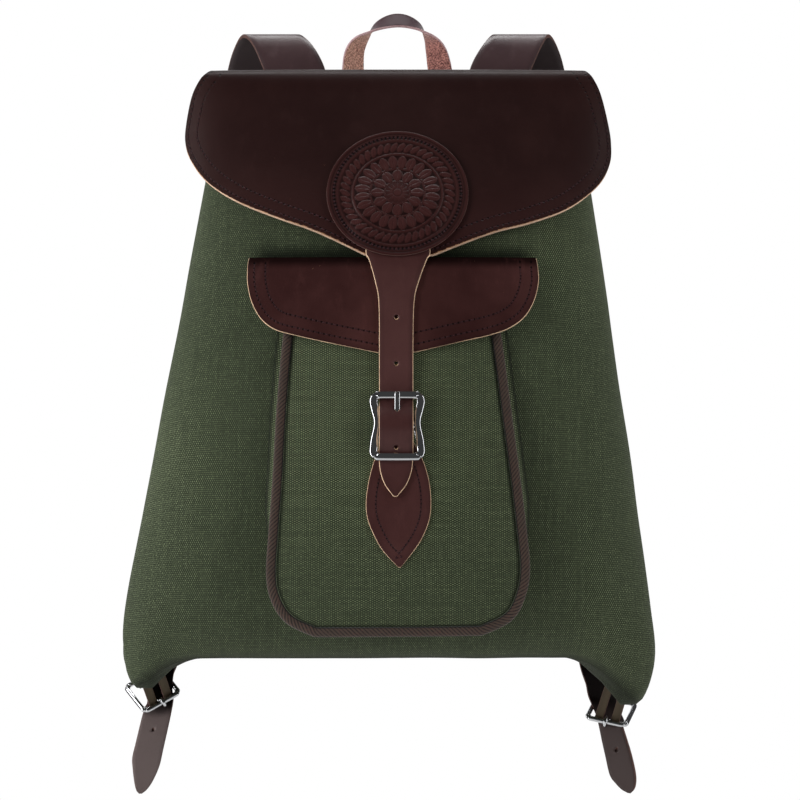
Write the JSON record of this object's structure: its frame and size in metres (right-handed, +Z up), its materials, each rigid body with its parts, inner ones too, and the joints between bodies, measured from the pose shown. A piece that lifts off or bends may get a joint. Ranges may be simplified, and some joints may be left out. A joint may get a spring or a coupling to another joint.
{
  "type": "canvas rucksack",
  "caption": "Canvas rucksack with a leather lid, a strap and buckle closure over a bound front pocket, a grab handle and shoulder straps buckled at the bottom corners.",
  "frame": {"origin": "underside of the grab handle's top, where a hook would carry the bag", "axes": "+Z up, -Y out of the front of the bag, +Y towards the wearer's back, +X to the right of someone who looks at the front"},
  "size_m": [0.4136, 0.2458, 0.6156],
  "materials": {
    "canvas": "plain weave, matt",
    "lid_leather": "smooth, satin",
    "patch_leather": "smooth, satin",
    "strap_leather": "grained, satin",
    "twill": "twill tape, matt",
    "steel": "bright"
  },
  "bodies": {
    "root": {"canvas_bag": "canvas", "lid_flap": "lid_leather", "medallion": "patch_leather", "closure_strap": "patch_leather", "closure_buckle": "steel", "closure_prong": "steel", "buckle_tab": "patch_leather", "front_pocket": "canvas", "pocket_binding": "twill", "pocket_flap": "patch_leather", "grab_handle": "strap_leather", "shoulder_strap_left": "strap_leather", "strap_buckle_left": "steel", "strap_prong_left": "steel", "strap_anchor_left": "patch_leather", "shoulder_strap_right": "strap_leather", "strap_buckle_right": "steel", "strap_prong_right": "steel", "strap_anchor_right": "patch_leather"}
  },
  "joints": []
}
